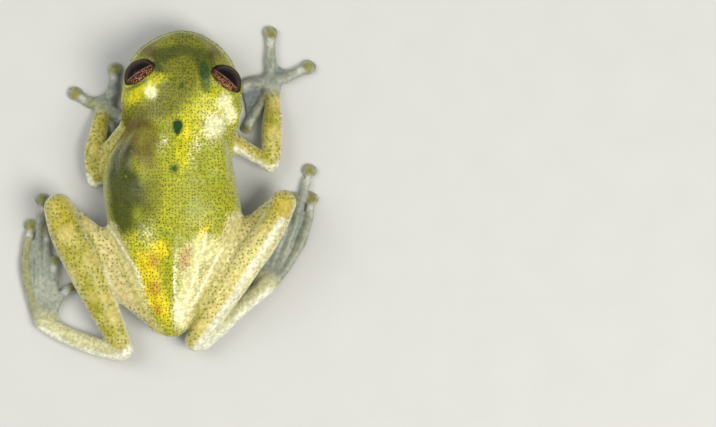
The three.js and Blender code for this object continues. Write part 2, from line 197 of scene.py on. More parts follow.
# %% The membrane
def membrane(outline, level, thickness):
    outline = np.array(outline, float)

    def distance(x, y, z):
        inside = np.zeros(np.broadcast(x, y).shape, bool)
        near = np.full(inside.shape, FAR)
        for a, b in zip(outline, np.roll(outline, -1, axis=0)):
            near = np.minimum(near, off_line(x, y, a, b))
            crosses = (a[1] > y) != (b[1] > y)
            run, rise = b - a
            at = a[0] + (y - a[1]) * run / (rise if abs(rise) > 1e-9 else 1e-9)
            inside ^= crosses & (x < at)
        flat = np.where(inside, -near, near)
        return smooth_max(flat, np.abs(z - level) - thickness / 2, 0.06)

    low, high = outline.min(0), outline.max(0)
    return distance, (*low, level - thickness), (*high, level + thickness)


SQUARE = [[0, 0], [2, 0], [2, 2], [0, 2]]
print("in a membrane of 0.2 mm:", membrane(SQUARE, 0.0, 0.2)[0](np.ones(1), np.ones(1), np.zeros(1)), "mm")

# %% [markdown]
# ## Trunk and head
# Seen from above the outline of a glass frog is a blunt, round snout, a short neck and a bag of a body. The
# trunk is a row of cross-sections. Each has its own left and right edge, because the frog lies a little
# askew. A mesh could be lofted through them, but then no limb could flow into it, so they shape a distance
# too.

# %% Cross-sections from snout to vent: y, left, right, top, bottom
TRUNK = [
    [-11.85, -0.75, -1.25, 2.50, 2.00],
    [-11.72, -0.05, -1.95, 2.95, 1.45],
    [-11.40, 0.75, -2.65, 3.40, 1.05],
    [-10.70, 1.85, -3.65, 3.95, 0.75],
    [-9.75, 2.60, -4.40, 4.60, 0.50],
    [-8.60, 3.05, -4.90, 5.10, 0.40],
    [-7.40, 3.30, -5.15, 5.30, 0.35],
    [-6.20, 3.25, -5.15, 5.30, 0.25],
    [-5.10, 3.00, -4.75, 5.35, 0.05],
    [-3.70, 3.80, -4.60, 5.75, -0.20],
    [-2.40, 4.50, -4.65, 6.15, -0.30],
    [-0.70, 4.75, -4.95, 6.20, -0.35],
    [1.00, 4.60, -5.25, 6.10, -0.35],
    [2.60, 4.30, -5.10, 5.70, -0.35],
    [4.40, 3.70, -4.40, 5.10, -0.30],
    [6.20, 3.10, -3.60, 4.40, -0.25],
    [7.80, 2.55, -2.75, 3.70, -0.15],
    [9.10, 1.70, -1.95, 3.10, 0.20],
    [9.85, 0.85, -1.25, 2.50, 0.80],
    [10.17, 0.10, -0.60, 2.05, 1.30],
]
print("cross-sections of the trunk:", len(TRUNK))

# %% [markdown]
# Each cross-section is a rounded oval, the sum of two powers: a dome above its widest level and a flatter
# keel below.

# %% The trunk as a distance
DOME, KEEL, WIDEST = 2.15, 2.3, 0.38
TRUNK_ROWS = between(TRUNK, 8)


def trunk_at(y):
    left, right, top, bottom = (np.interp(y, TRUNK_ROWS[:, 0], TRUNK_ROWS[:, c]) for c in (1, 2, 3, 4))
    return (left + right) / 2, (left - right) / 2, top, bottom, bottom + (top - bottom) * WIDEST


def trunk_distance(x, y, z):
    held = np.clip(y, TRUNK_ROWS[0, 0], TRUNK_ROWS[-1, 0])
    middle, half, top, bottom, widest = trunk_at(held)
    above = z >= widest
    u = np.abs(x - middle) / half
    v = np.where(above, (z - widest) / (top - widest), (widest - z) / (widest - bottom))
    power = np.where(above, DOME, KEEL)
    ring = np.maximum((u**power + v**power) ** (1 / power), 1e-3)
    inward = np.hypot(x - middle, z - widest) * (1 - 1 / ring)
    inward = np.where(ring < 0.05, -np.minimum(half, top - widest), inward)
    past = np.abs(y - held)
    return np.where(past > 0, np.hypot(np.maximum(inward, 0), past), inward)


def back_height(x, y):
    middle, half, top, _, widest = trunk_at(y)
    u = min(abs(x - middle) / half, 1.0)
    return float(widest + (top - widest) * (1 - u**DOME) ** (1 / DOME))


TRUNK_LOW, TRUNK_HIGH = (-5.3, -11.9, -0.4), (4.8, 10.2, 6.2)
add_form((trunk_distance, TRUNK_LOW, TRUNK_HIGH), 0.05)
print("trunk laid in, back height at the shoulders:", round(back_height(-0.8, -3.0), 2), "mm")

# %% [markdown]
# ## Bones under the skin
# The skin lies close on the skeleton, so shoulder blades, hip bones, the long tail bone and the ridges of
# the snout lift it a little, and two thin folds run over the right hip. They could be sculpted, but as
# chains sunk almost to their crown each one keeps a depth and a radius that can be changed.

# %% Low swellings of the head and back: path, depth, radius, blend
def on_back(points, depth, radius):
    return [[x, y, back_height(x, y) - depth, radius, radius] for x, y in points]


SWELLINGS = {
    "tail bone": ([(-0.45, 3.2), (-0.42, 5.2), (-0.38, 7.2), (-0.3, 9.0)], 0.24, 0.34, 0.5),
    "left hip bone": ([(1.55, 2.6), (1.25, 4.6), (0.75, 6.8), (0.05, 8.9)], 0.3, 0.36, 0.55),
    "right hip bone": ([(-2.35, 2.6), (-2.0, 4.6), (-1.45, 6.8), (-0.65, 8.9)], 0.3, 0.36, 0.55),
    "left shoulder blade": ([(1.35, -4.4), (2.2, -3.2), (2.6, -2.0)], 0.62, 0.75, 0.7),
    "right shoulder blade": ([(-2.75, -4.4), (-3.3, -3.2), (-3.5, -2.0)], 0.62, 0.75, 0.7),
    "left snout ridge": ([(1.1, -9.9), (0.4, -10.7), (-0.3, -11.2)], 0.26, 0.32, 0.5),
    "right snout ridge": ([(-3.1, -9.8), (-2.4, -10.7), (-1.75, -11.2)], 0.26, 0.32, 0.5),
    "inner hip fold": ([(-2.85, 2.8), (-2.5, 4.3), (-1.9, 6.2), (-1.3, 7.8)], 0.08, 0.12, 0.22),
    "outer hip fold": ([(-3.9, 4.0), (-3.1, 5.5), (-2.3, 7.1), (-1.5, 8.4)], 0.08, 0.12, 0.22),
}
VENT_LIP = [[0.6, 9.5, 1.9, 0.6, 0.6], [-0.6, 9.6, 1.95, 0.6, 0.6]]
for path, depth, radius, blend in SWELLINGS.values():
    add_form(chain(on_back(path, depth, radius)), blend)
add_form(chain(VENT_LIP), 0.6)
cut_form(ball(-0.1, 10.35, 2.0, 0.2, 0.3, 0.08), 0.1)
print("swellings under the skin:", ", ".join(SWELLINGS))

# %% [markdown]
# ## Arms and legs
# A limb is a chain of stations: place, half width, half height. Muscles make the middle of each length
# fuller and the joints slimmer, which plain cylinders would miss. Knee and elbow are where two chains meet,
# so only a small blend is used there, and the fold between them stays.

# %% Stations of the limbs: x, y, z, half width, half height
ARMS = {
    "left": {
        "upper": [
            [3.1, -4.4, 1.9, 0.85, 0.9], [4.35, -3.0, 1.4, 0.72, 0.75], [5.15, -1.25, 1.1, 0.6, 0.6],
        ],
        "fore": [
            [5.4, -1.05, 1.15, 0.6, 0.6], [5.44, -2.0, 1.15, 0.7, 0.68], [5.42, -3.2, 1.1, 0.74, 0.7],
            [5.15, -4.6, 0.85, 0.66, 0.6], [5.0, -5.5, 0.62, 0.5, 0.46],
        ],
        "hand": [[4.98, -5.65, 0.5, 0.55, 0.4], [4.75, -6.5, 0.38, 0.7, 0.3]],
        "digits": [
            [[4.75, -5.75], [4.35, -5.0], [4.05, -4.4]],
            [[4.4, -6.2], [3.75, -5.8], [3.2, -5.55]],
            [[4.45, -6.5], [4.11, -7.8], [4.01, -9.18]],
            [[5.05, -6.45], [6.2, -6.9], [6.91, -7.4]],
        ],
    },
    "right": {
        "upper": [
            [-4.0, -4.2, 2.2, 0.85, 0.9], [-5.7, -3.25, 1.7, 0.6, 0.65], [-7.2, -2.35, 1.25, 0.56, 0.6],
        ],
        "fore": [
            [-7.4, -2.25, 1.15, 0.6, 0.6], [-7.5, -3.4, 1.15, 0.74, 0.7], [-7.5, -4.6, 1.05, 0.76, 0.72],
            [-7.55, -5.8, 0.85, 0.68, 0.6], [-7.56, -6.8, 0.62, 0.52, 0.46],
        ],
        "hand": [[-7.52, -7.0, 0.5, 0.58, 0.4], [-7.42, -8.2, 0.38, 0.74, 0.3]],
        "digits": [
            [[-7.1, -7.3], [-6.35, -6.1], [-5.65, -4.85]],
            [[-7.1, -8.2], [-6.0, -8.2], [-5.15, -7.85]],
            [[-7.38, -8.5], [-7.41, -10.3], [-7.37, -11.8]],
            [[-7.8, -8.3], [-9.2, -8.86], [-10.16, -9.32]],
        ],
    },
}
LEGS = {
    "left": {
        "thigh": [
            [0.5, 8.3, 1.7, 1.4, 1.25], [2.5, 6.75, 1.75, 1.6, 1.3], [4.6, 4.6, 1.8, 1.5, 1.2],
            [6.3, 2.95, 1.9, 1.3, 1.15], [7.5, 1.5, 2.0, 1.0, 1.0],
        ],
        "shank": [
            [8.0, 1.0, 2.5, 1.08, 1.05], [7.3, 2.9, 2.8, 1.28, 1.15], [6.18, 5.15, 2.7, 1.31, 1.15],
            [5.1, 7.5, 2.05, 1.18, 1.05], [4.1, 9.65, 1.5, 0.98, 0.92], [3.45, 11.2, 1.15, 0.85, 0.85],
        ],
        "tarsus": [
            [3.6, 11.5, 0.95, 0.72, 0.75], [5.2, 11.15, 0.85, 0.68, 0.66], [6.6, 10.65, 0.75, 0.66, 0.62],
            [8.0, 10.05, 0.68, 0.66, 0.58], [9.1, 9.4, 0.6, 0.68, 0.52],
        ],
        "ankle": (9.2, 9.3), "turn": 0.0, "side": 1,
    },
    "right": {
        "thigh": [
            [-1.7, 7.4, 1.75, 1.3, 1.3], [-3.1, 6.2, 1.8, 1.4, 1.3], [-4.8, 4.5, 2.05, 1.45, 1.15],
            [-6.6, 2.6, 2.1, 1.3, 1.15], [-7.9, 1.1, 2.15, 1.0, 1.05],
        ],
        "shank": [
            [-8.35, 0.6, 2.65, 0.95, 1.0], [-7.3, 2.7, 3.0, 1.06, 1.15], [-5.5, 5.3, 2.9, 1.08, 1.15],
            [-3.95, 7.6, 2.35, 1.02, 1.05], [-2.65, 9.4, 1.65, 0.92, 0.92], [-1.95, 10.6, 1.15, 0.82, 0.85],
        ],
        "tarsus": [
            [-2.5, 10.75, 0.95, 0.6, 0.75], [-3.85, 9.55, 0.85, 0.64, 0.66], [-5.05, 8.35, 0.75, 0.64, 0.62],
            [-6.15, 7.4, 0.68, 0.66, 0.58], [-7.05, 6.65, 0.6, 0.68, 0.52],
        ],
        "ankle": (-7.1, 6.6), "turn": -19.9, "side": -1,
    },
}
print("stations of one leg:", sum(len(LEGS["left"][part]) for part in ("thigh", "shank", "tarsus")))

# %% Lay in the limbs
LIMB_BLENDS = (
    (LEGS, "thigh", 1.0), (LEGS, "shank", 0.16), (LEGS, "tarsus", 0.22),
    (ARMS, "upper", 0.6), (ARMS, "fore", 0.16),
)
limb_forms = [
    (chain(limbs[side][part]), blend) for side in ("left", "right") for limbs, part, blend in LIMB_BLENDS
]
for form, blend in limb_forms:
    add_form(form, blend)
print("limb lengths laid in:", len(limb_forms))

# %% [markdown]
# ## Hands, feet and webs
# Every digit swells a little at its joint and ends in a round disc that grips leaves. A skin modifier over
# bones could make them, but it gives no control over the disc. Toe positions are drawn once, as across and
# forward from the ankle, and placed for both feet. The webs are thin membranes with a hollow edge.

# %% Toes, drawn across and forward from the ankle
TOES = [
    {"bones": [[-0.55, 0.4], [-0.95, 1.35], [-1.2, 1.85]], "tip": [-2.0, 2.53], "disc": 0.38},
    {"bones": [[-0.35, 0.4], [-0.65, 1.8], [-0.75, 2.75]], "tip": [-0.8, 4.46], "disc": 0.4},
    {"bones": [[0.0, 0.3], [-0.15, 2.6], [-0.22, 4.9]], "tip": [-0.25, 6.66], "disc": 0.46},
    {"bones": [[0.2, 0.3], [0.45, 2.8], [0.35, 5.8]], "tip": [0.11, 8.91], "disc": 0.55},
    {"bones": [[0.42, 0.3], [1.2, 2.6], [1.4, 4.9]], "tip": [0.95, 7.04], "disc": 0.52},
]
def foot_point(leg, point):
    turn = math.radians(leg["turn"])
    x, y = leg["side"] * point[0], -point[1]
    return [leg["ankle"][0] + x * math.cos(turn) - y * math.sin(turn),
            leg["ankle"][1] + x * math.sin(turn) + y * math.cos(turn)]


def along(path, share):
    path = np.array(path, float)
    lengths = np.hypot(*np.diff(path, axis=0).T)
    marks = np.concatenate([[0], np.cumsum(lengths)]) / lengths.sum()
    return np.array([np.interp(share, marks, path[:, c]) for c in (0, 1)])


print("half way along toe four:", along(TOES[3]["bones"], 0.5).round(2), "mm from the ankle")

# %% One digit: shaft with a swollen joint, disc and pad
SHAFT = ((0.0, 1.0), (0.22, 0.86), (0.42, 0.8), (0.56, 0.92), (0.74, 0.72), (0.9, 0.78))
FLATNESS = 0.78


def digit(path, base, disc):
    rows = [[*along(path, s), 0.27 + 0.06 * (1 - s), base * g, base * g * FLATNESS] for s, g in SHAFT]
    tip = along(path, 1.0)
    pad = tip + (along(path, 0.93) - tip) * 0.4
    return [chain(rows, 3), ball(*tip, 0.2, disc, disc * 0.94, 0.24), ball(*pad, 0.3, 0.26, 0.26, 0.22)]


print("stations along a digit:", len(SHAFT))

# %% One web: a membrane with a hollow edge between two digits
WEB_LEVEL, WEB_THICKNESS = 0.2, 0.24


def web_between(path_a, path_b, share_a, share_b, hollow):
    edge_a = [along(path_a, share_a * s) for s in (0.0, 0.35, 0.7, 1.0)]
    edge_b = [along(path_b, share_b * s) for s in (1.0, 0.7, 0.35, 0.0)]
    start, end = edge_a[-1], edge_b[0]
    bend = (start + end) / 2 * (1 - hollow) + (edge_a[0] + edge_b[-1]) / 2 * hollow
    curve = [start * (1 - t) ** 2 + bend * 2 * t * (1 - t) + end * t * t for t in (0.2, 0.4, 0.6, 0.8)]
    return membrane([*edge_a, *curve, *edge_b], WEB_LEVEL, WEB_THICKNESS)


print("web thickness:", WEB_THICKNESS, "mm")

# %% Lay out the digits, webs and palms: finger or toe a and b, how far the web reaches on each, hollow
FINGER_BASE, FINGER_DISCS = 0.5, (0.42, 0.42, 0.55, 0.55)
TOE_BASE = 0.42
FINGER_WEBS = [(0, 1, 0.92, 0.97, 0.05), (1, 2, 0.85, 0.52, 0.25), (2, 3, 0.68, 0.72, 0.25)]
TOE_WEBS = [
    (0, 1, 0.7, 0.66, 0.12), (1, 2, 0.75, 0.68, 0.12), (2, 3, 0.84, 0.7, 0.12), (3, 4, 0.76, 0.84, 0.12),
]
HEEL, HEEL_BUMP = [-0.05, 0.5], [-0.85, 0.05]
digit_forms, disc_spots, web_forms, palm_forms, digit_paths = [], [], [], [], []
for side in ("left", "right"):
    arm, leg = ARMS[side], LEGS[side]
    fingers = [[arm["hand"][0][:2]] + path for path in arm["digits"]]
    toes = [[foot_point(leg, p) for p in toe["bones"] + [toe["tip"]]] for toe in TOES]
    sizes = [(FINGER_BASE, disc) for disc in FINGER_DISCS] + [(TOE_BASE, toe["disc"]) for toe in TOES]
    for path, (base, disc) in zip(fingers + toes, sizes):
        digit_forms += digit(path, base, disc)
        disc_spots.append((*path[-1], disc))
        digit_paths.append(path)
    for digits, webs in ((fingers, FINGER_WEBS), (toes, TOE_WEBS)):
        web_forms += [web_between(digits[a], digits[b], *shares) for a, b, *shares in webs]
    palm_forms.append(chain(arm["hand"]))
    palm_forms.append(ball(*foot_point(leg, HEEL), 0.38, 0.78, 0.85, 0.42))
    palm_forms.append(ball(*foot_point(leg, HEEL_BUMP), 0.22, 0.26, 0.36, 0.2))
for forms, blend in ((palm_forms, 0.3), (web_forms, 0.12), (digit_forms, 0.16)):
    for form in forms:
        add_form(form, blend)
print("digits:", len(digit_paths), "webs:", len(web_forms))

# %% [markdown]
# ## Lids, mouth, nostrils and eardrum
# The upper lid is a hood over the back of the eyeball. The lower lid is a clear rim that shows from above
# as a thin line. As shells of their own they would show a seam, so they are blended into the skin too, and
# the socket is cut afterwards.

# %% Lids over the eyes: thickness, how far forward and how high each reaches, blend
LOOKS = {side: np.array(eye["look"]) / np.linalg.norm(eye["look"]) for side, eye in EYES.items()}
UPPER_LID, LOWER_LID = (0.2, 0.38, FAR, 0.35), (0.13, FAR, -0.12, 0.25)
SOCKET = EYE_RADIUS - 0.01


def lid(centre, look, thickness, front, level):
    def distance(x, y, z):
        dx, dy, dz = x - centre[0], y - centre[1], z - centre[2]
        shell = np.sqrt(dx * dx + dy * dy + dz * dz) - EYE_RADIUS - thickness
        hood = dx * look[0] + dy * look[1] + dz * look[2] - front
        return smooth_max(smooth_max(shell, hood, 0.12), dz - level, 0.12)

    reach = EYE_RADIUS + thickness
    return distance, np.array(centre) - reach, np.array(centre) + reach


for side, eye in EYES.items():
    for thickness, front, level, blend in (UPPER_LID, LOWER_LID):
        add_form(lid(eye["centre"], LOOKS[side], thickness, front, level), blend)
for eye in EYES.values():
    cut_form(ball(*eye["centre"], SOCKET, SOCKET, SOCKET), 0.05)
print("lids set over both eyes")

# %% [markdown]
# The mouth is a fine groove between two soft lips that runs from ear to ear at one level. It follows the
# trunk, so its path is worked out from the cross-sections at that level.

# %% Mouth
MOUTH_LEVEL = 1.95
mouth_rows = []
for y in np.linspace(-6.0, -11.79, 26):
    middle, half, top, bottom, widest = trunk_at(y)
    above = MOUTH_LEVEL > widest
    v = abs(MOUTH_LEVEL - widest) / ((top - widest) if above else (widest - bottom))
    power = DOME if above else KEEL
    mouth_rows.append((middle, half * max(1 - v**power, 0) ** (1 / power), y))
mouth_path = [[m + h, y] for m, h, y in mouth_rows] + [[m - h, y] for m, h, y in reversed(mouth_rows)]
add_form(chain([[x, y, MOUTH_LEVEL + 0.02, 0.17, 0.2] for x, y in mouth_path], 1), 0.3)
cut_form(chain([[x, y, MOUTH_LEVEL, 0.2, 0.055] for x, y in mouth_path], 1), 0.05)
print("mouth path points:", len(mouth_path))

# %% Nostrils, eardrums and the folds behind them
NOSTRILS = ((-0.35, -11.32, 0.06), (-1.75, -11.3, -0.06))
EARDRUMS = ((3.0, -6.35, 3.35), (-4.9, -6.3, 3.35))
EAR_FOLDS = (
    [[2.35, -7.2, 4.35, 0.3, 0.3], [3.0, -6.2, 3.6, 0.3, 0.3], [3.15, -5.2, 2.6, 0.35, 0.35]],
    [[-4.3, -7.0, 4.35, 0.3, 0.3], [-4.85, -6.1, 3.6, 0.3, 0.3], [-4.75, -5.1, 2.6, 0.35, 0.35]],
)
for x, y, outward in NOSTRILS:
    z = back_height(x, y)
    add_form(ball(x, y, z - 0.1, 0.24, 0.26, 0.2), 0.25)
    cut_form(ball(x + outward, y - 0.03, z + 0.05, 0.07, 0.1, 0.16), 0.05)
for place in EARDRUMS:
    add_form(ball(*place, 0.22, 0.42, 0.42), 0.12)
for fold in EAR_FOLDS:
    add_form(chain(fold), 0.45)
print("nostrils at", [round(back_height(x, y), 2) for x, y, _ in NOSTRILS], "mm above the floor")

# %% Flat where the frog rests on the floor
field = smooth_max(field, -GRID_AXES[2][None, None, :], 0.05).astype(np.float32)
print("lowest level of the grid:", round(float(GRID_AXES[2][0]), 2), "mm, now cut at 0")

# %% [markdown]
# ## From field to skin
# The zero surface could be read off as triangles, but even quads shade smoother. A slight, slow noise then
# moves the vertices by hundredths of a millimetre, because living skin is never as even as a computed
# surface.

# %% Draw the skin mesh
scene = bpy.context.scene


def place(name, data):
    made = bpy.data.objects.new(name, data)
    scene.collection.objects.link(made)
    return made


BAND = 3 * CELL
LONG_WAVE, SHORT_WAVE, WAVE_HEIGHT = 0.9, 0.35, 0.03
grid = vdb.FloatGrid(BAND)
grid.copyFromArray(np.clip(field, -BAND, BAND).astype(np.float32), (0, 0, 0), 1e-6)
cells, quads = grid.convertToQuads()
points = GRID_LOW + cells * CELL
uneven = np.array([
    noise.noise(Vector(p) / LONG_WAVE) + 0.5 * noise.noise(Vector(p) / SHORT_WAVE) for p in points.tolist()
])
cell_of = tuple(np.clip(cells.round().astype(int), 0, COUNTS - 1).T)
outward = np.stack(np.gradient(field, CELL), axis=-1)[cell_of]
outward = outward / np.maximum(np.linalg.norm(outward, axis=1), 1e-6)[:, None]
points += outward * (uneven * WAVE_HEIGHT)[:, None]
points[:, 2] = np.maximum(points[:, 2], 0.0)
skin_mesh = bpy.data.meshes.new("skin")
skin_mesh.from_pydata(((points + SHIFT) * MM).tolist(), [], quads.tolist())
skin_mesh.update()
skin_mesh.shade_smooth()
skin = place("skin", skin_mesh)
normals = np.zeros(len(points) * 3, np.float32)
skin_mesh.vertex_normals.foreach_get("vector", normals)
normals = normals.reshape(-1, 3)
facing_out = (normals[:, 2] * (points[:, 2] - 2.5)).mean() > 0
print("skin vertices:", len(points), "quads:", len(quads), "facing out:", bool(facing_out))

# %% [markdown]
# ## Masks on the vertices
# The markings of this frog sit in known places: yellow behind the eyes, a dark flank, green drops on the
# midline, a rump that is yellow on one side and milky on the other. A few masks paint light instead: glints
# of the wet skin, and a paler right leg on the lit side. The masks could be painted as an image, but numbers
# kept on the vertices need no file and follow every change of the shape. Each mask is a sum of soft patches
# or the neighbourhood of a drawn line. The nodes break up their edges later.

# %% Soft patches, soft lines and how a mask is kept
def soft_patch(x, y, across, down, turn=0.0, strength=1.0):
    a = math.radians(turn)
    dx, dy = points[:, 0] - x, points[:, 1] - y
    u = (dx * math.cos(a) + dy * math.sin(a)) / across
    v = (-dx * math.sin(a) + dy * math.cos(a)) / down
    return strength * np.exp(-(u * u + v * v))


def soft_line(path, width):
    best = np.full(len(points), FAR)
    for a, b in zip(np.array(path[:-1], float), np.array(path[1:], float)):
        best = np.minimum(best, off_line(points[:, 0], points[:, 1], a, b))
    return np.exp(-((best / width) ** 2))


def strongest(layers):
    return np.maximum.reduce(list(layers))


def store(name, values):
    layer = skin_mesh.attributes.new(name, "FLOAT", "POINT")
    layer.data.foreach_set("value", np.clip(values, 0, 1).astype(np.float32))


def step(values, low, high):
    t = np.clip((values - low) / (high - low), 0, 1)
    return t * t * (3 - 2 * t)


print("vertices 1 mm around the drop:", int((soft_patch(-0.77, -5.08, 1.0, 1.0) > math.exp(-1)).sum()))

# %% [markdown]
# A vertex belongs to the part whose form is nearest to it. Colours of the back stop softly where a limb
# begins.

# %% Which part each vertex belongs to
def nearest(forms):
    best = np.full(len(points), FAR)
    for distance, low, high in forms:
        near = np.all((points > np.array(low) - 0.8) & (points < np.array(high) + 0.8), axis=1)
        if near.any():
            best[near] = np.minimum(best[near], distance(*points[near].T))
    return best


upward = step(normals[:, 2], 0.0, 0.4)
trunk_gap = trunk_distance(*points.T)
arm_leg_gap = nearest([form for form, _ in limb_forms])
tarsus_gap, thigh_gap, shank_gap = (
    nearest([chain(leg[part]) for leg in LEGS.values()]) for part in ("tarsus", "thigh", "shank")
)
digit_gap, palm_gap, web_gap = nearest(digit_forms), nearest(palm_forms), nearest(web_forms)
hand_gap = np.minimum.reduce([digit_gap, palm_gap, web_gap])
on_trunk = step(np.minimum(arm_leg_gap, hand_gap) - trunk_gap, -0.35, 0.3)
on_limb = 1 - on_trunk
print("share of the vertices on the trunk:", round(float(on_trunk.mean()), 2))

# %% Patches of the back: place, half width, half length and, where it has them, turn and strength
PATCHES = {
    "olive": [(-0.9, -10.4, 3.4, 2.2), (-0.7, -7.8, 1.4, 1.5), (2.7, -5.6, 1.5, 1.2),
              (0.4, -6.4, 1.0, 0.8), (1.3, 0.0, 1.3, 2.2, 0, 0.8), (-2.2, -0.4, 1.2, 1.2, 0, 0.3)],
    "umber": [(1.4, -10.5, 1.2, 0.7, -35), (2.4, -3.9, 2.1, 1.8, 20, 0.9), (3.0, -4.4, 1.0, 1.0, 0, 0.4),
              (1.3, -2.5, 0.6, 1.2, 35, 0.45), (-3.2, -10.2, 0.5, 0.7), (1.5, -4.5, 1.1, 1.5, 0, 0.5)],
    "flank": [(3.6, -1.5, 1.0, 1.6), (3.1, 0.2, 1.2, 1.5), (3.4, 2.0, 0.8, 1.3),
              (2.3, -0.7, 0.8, 1.2, 20, 0.5), (2.0, 2.2, 1.1, 0.6, 0, 0.5), (1.7, 0.9, 0.9, 0.5, -30, 0.3),
              (3.2, -3.1, 1.0, 1.0, 0, 0.7)],
    "moss": [(0.6, -10.1, 0.8, 0.6), (-0.9, -10.4, 1.4, 0.6), (-2.6, -9.9, 0.9, 0.7),
             (0.6, -9.0, 0.7, 0.4), (-2.8, -8.9, 0.5, 0.8)],
    "yellow": [(1.7, -7.85, 1.8, 0.6, 27), (2.6, -7.3, 0.8, 0.5, 27), (-3.4, -6.6, 1.3, 0.9, -15),
               (-1.9, -5.0, 1.0, 1.4), (-1.2, -3.1, 0.6, 1.7), (0.1, 0.8, 0.5, 1.6, 0, 0.4),
               (1.7, 4.8, 1.3, 2.0, 24), (0.7, 8.0, 0.9, 1.8, 24)],
    "gold": [(0.45, 3.9, 0.7, 0.85), (1.75, 4.9, 0.6, 0.9, 20), (1.15, 6.9, 0.65, 1.6, 14),
             (-1.35, -4.6, 0.3, 0.7), (-2.6, 2.9, 0.35, 0.9, -18), (0.3, 8.2, 0.35, 0.6)],
    "rust": [(0.95, 4.8, 0.5, 0.7), (-1.3, 4.6, 0.5, 1.0, -6), (0.95, 6.8, 0.55, 0.7),
             (0.8, 8.4, 0.4, 0.6)],
    "milky": [(-1.8, 4.8, 1.0, 1.9, -8), (-1.25, 7.6, 0.75, 1.7, -14), (-3.3, 3.9, 1.2, 1.0),
              (-0.95, 9.2, 0.45, 0.8), (-0.6, 4.2, 0.4, 1.0, 0, 0.5)],
    # The cream patches are pale cream skin with painted highlights on it: the glints of the wet skin behind
    # the eyes, on the right shoulder and by the vent.
    "cream_and_glint": [(1.2, -7.4, 0.5, 0.52), (-4.15, -6.75, 0.6, 0.6), (-3.4, -4.95, 0.8, 0.95, -10),
              (-4.6, -5.75, 0.4, 0.5), (3.75, -6.9, 0.3, 0.25), (-0.8, 8.7, 0.4, 0.8)],
    # The fleck patches are white flecks with painted glints of the wet skin among them.
    "fleck_and_glint": [(1.5, 2.95, 0.6, 0.95, -10), (-2.05, -3.5, 0.4, 1.2, -12), (0.25, -3.75, 0.35, 0.6, -20),
              (-3.4, -4.85, 1.1, 1.3, 0, 0.7), (-2.6, 5.4, 0.8, 1.6, -18), (-0.9, 8.4, 0.6, 1.3)],
    "bare": [(1.7, -7.6, 1.7, 0.5, 27), (-3.3, 4.2, 1.0, 1.4, -25)],
    "teal": [(2.1, -7.98, 1.3, 0.2, 27), (-2.74, -8.05, 0.4, 0.75, 6), (-1.0, -7.9, 0.2, 0.28),
             (-2.6, -9.1, 0.35, 0.6), (0.9, -9.4, 0.4, 0.3), (-0.53, -1.87, 0.4, 0.35),
             (-0.75, -4.9, 0.45, 0.6)],
    "drop": [(-0.77, -5.08, 0.44, 0.34), (-0.74, -4.66, 0.22, 0.42), (-0.53, -1.87, 0.27, 0.22, 0, 0.7)],
}
for name, spots in PATCHES.items():
    store(name, np.minimum(sum(soft_patch(*spot) for spot in spots), 1) * upward * on_trunk)
print("masks for the back:", ", ".join(PATCHES))

# %% Lines and edges of the back: bare skin beside the hips, pale folds, lips and lids
HIP_SKIN = [
    ([(4.2, 2.5), (3.0, 5.0), (2.4, 6.8), (1.9, 8.4), (1.0, 9.9)], 0.6),
    ([(-4.95, 1.9), (-4.6, 3.1), (-3.65, 5.0), (-2.4, 7.0), (-1.3, 8.9)], 0.75),
]
PALE_LINES = [
    SWELLINGS["inner hip fold"][0],
    SWELLINGS["outer hip fold"][0],
    [(4.4, 2.2), (3.3, 3.9), (2.3, 5.4), (1.8, 6.7)],
    [(-0.55, 5.2), (-0.5, 6.8), (-0.7, 8.6)],
]
store("hip", strongest(soft_line(path, width) for path, width in HIP_SKIN) * upward * on_trunk)
store("line", strongest(soft_line(path, 0.15) for path in PALE_LINES) * upward)
to_eyes = [np.linalg.norm(points - np.array(eye["centre"]), axis=1) - EYE_RADIUS for eye in EYES.values()]
store("lid_edge", np.exp(-((np.minimum(*to_eyes) / 0.13) ** 2)))
upper_lip = soft_line(mouth_path, 0.1) * (points[:, 2] < 2.6)
rim = 1 - step(normals[:, 2], 0.0, 0.15 + 0.45 * step(points[:, 1], -5.5, -3.5))
limb_rim = 1 - step(normals[:, 2], 0.2, 0.8)
store("side", on_trunk * np.maximum(rim, 0.8 * upper_lip) + on_limb * limb_rim)
print("lines:", len(HIP_SKIN) + len(PALE_LINES))

# %% Limbs: warm knees and shoulder, pale thighs and shins, painted light on the right leg, white outer edges
WARM = [(8.0, 1.5, 1.1, 1.3), (-8.2, 1.1, 1.0, 1.2), (3.5, -4.0, 0.4, 0.9, -37)]
WHITE_EDGES = [
    ([(-4.9, -3.3), (-6.3, -2.4), (-7.4, -1.8), (-8.0, -2.2)], 0.28, 1.0),
    ([(9.4, 9.8), (6.9, 11.3), (3.7, 12.1), (2.7, 11.3)], 0.32, 1.0),
    ([(4.7, 5.2), (4.2, 6.6), (3.7, 7.9), (3.3, 9.2), (2.7, 10.9)], 0.3, 0.5),
    ([(3.6, 11.9), (2.7, 11.3)], 0.4, 0.5),
    ([(-8.3, 1.9), (-6.9, 4.1), (-5.0, 7.0), (-3.0, 10.0), (-1.9, 11.3)], 0.36, 0.85),
    ([(-7.4, 7.0), (-5.4, 8.7), (-4.2, 9.9), (-2.8, 11.1)], 0.28, 1.0),
    ([(5.9, -1.3), (5.5, -0.6), (4.9, -0.8)], 0.28, 1.0),
]
shin = 1 - step(tarsus_gap, 0.1, 0.5)
# Painted light: the whole right leg is laid paler, as the side of the frog that the light falls on.
lit_right_leg = step(-points[:, 0], 1.0, 4.0) * step(points[:, 1], 1.5, 4.5)
thigh = 0.8 * step(shank_gap - thigh_gap, -0.1, 0.4) * step(points[:, 1], 0.5, 2.5)
limb_masks = {
    "limb": 1.0,
    "shin": shin,
    "pale_and_lit_leg": np.maximum(lit_right_leg, shin),
    "thigh": thigh,
    "warm": sum(soft_patch(*spot) for spot in WARM),
    "ends": sum(strength * soft_line(path, width) for path, width, strength in WHITE_EDGES),
}
for name, mask in limb_masks.items():
    store(name, mask * on_limb)
print("masks for the limbs:", ", ".join(limb_masks))

